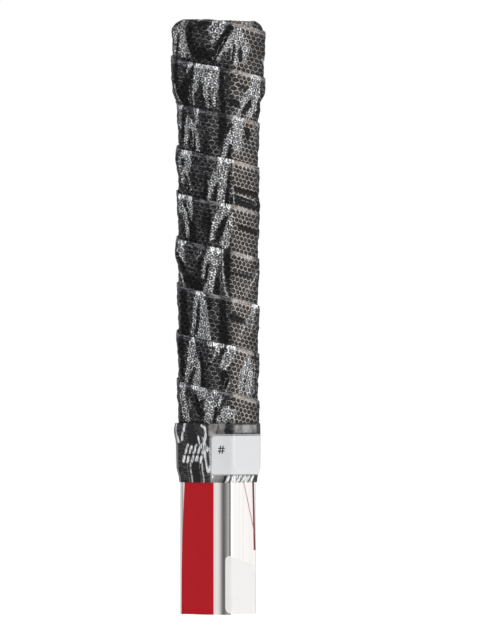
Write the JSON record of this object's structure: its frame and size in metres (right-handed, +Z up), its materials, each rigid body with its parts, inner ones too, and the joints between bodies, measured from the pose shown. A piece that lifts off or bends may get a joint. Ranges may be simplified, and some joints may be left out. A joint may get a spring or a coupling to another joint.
{
  "type": "wrapped stick grip",
  "caption": "Butt end of an eight-sided metal stick shaft with a rubber end cap, a wound cushion grip tape, and a finishing tape that carries a write-on number label.",
  "frame": {"origin": "centre of the shaft's open lower end, on its end face", "axes": "+Z up the shaft's axis to the butt end; the wide flats face +X, +Y, -X and -Y, and the bevel with the number sign faces +X and -Y"},
  "size_m": [0.0322, 0.0322, 0.2224],
  "materials": {
    "shaft_metal": "bright drawn finish with fine lengthwise lines",
    "cap_rubber": "satin moulded rubber",
    "adhesive": "tacky film on the back of the tape",
    "grip_cushion": "satin honeycomb embossing with a pale streak print",
    "finish_vinyl": "smooth printed vinyl with a soft gloss",
    "clear_film": "thin clear gloss film",
    "label_white": "smooth white write-on film",
    "sign_ink": "black print",
    "panel_red": "gloss red film",
    "panel_white": "gloss white film",
    "pinstripe_dark": "gloss dark red film",
    "pinstripe_pale": "gloss greyish pink film"
  },
  "bodies": {
    "root": {"shaft_tube": "shaft_metal", "end_cap": "cap_rubber", "adhesive_strip": "adhesive", "grip_tape": "grip_cushion", "finishing_tape": "finish_vinyl", "label_film": "clear_film", "number_label": "label_white", "number_sign": "sign_ink", "red_panel": "panel_red", "white_panel": "panel_white", "dark_pinstripe": "pinstripe_dark", "pale_pinstripe": "pinstripe_pale"}
  },
  "joints": []
}
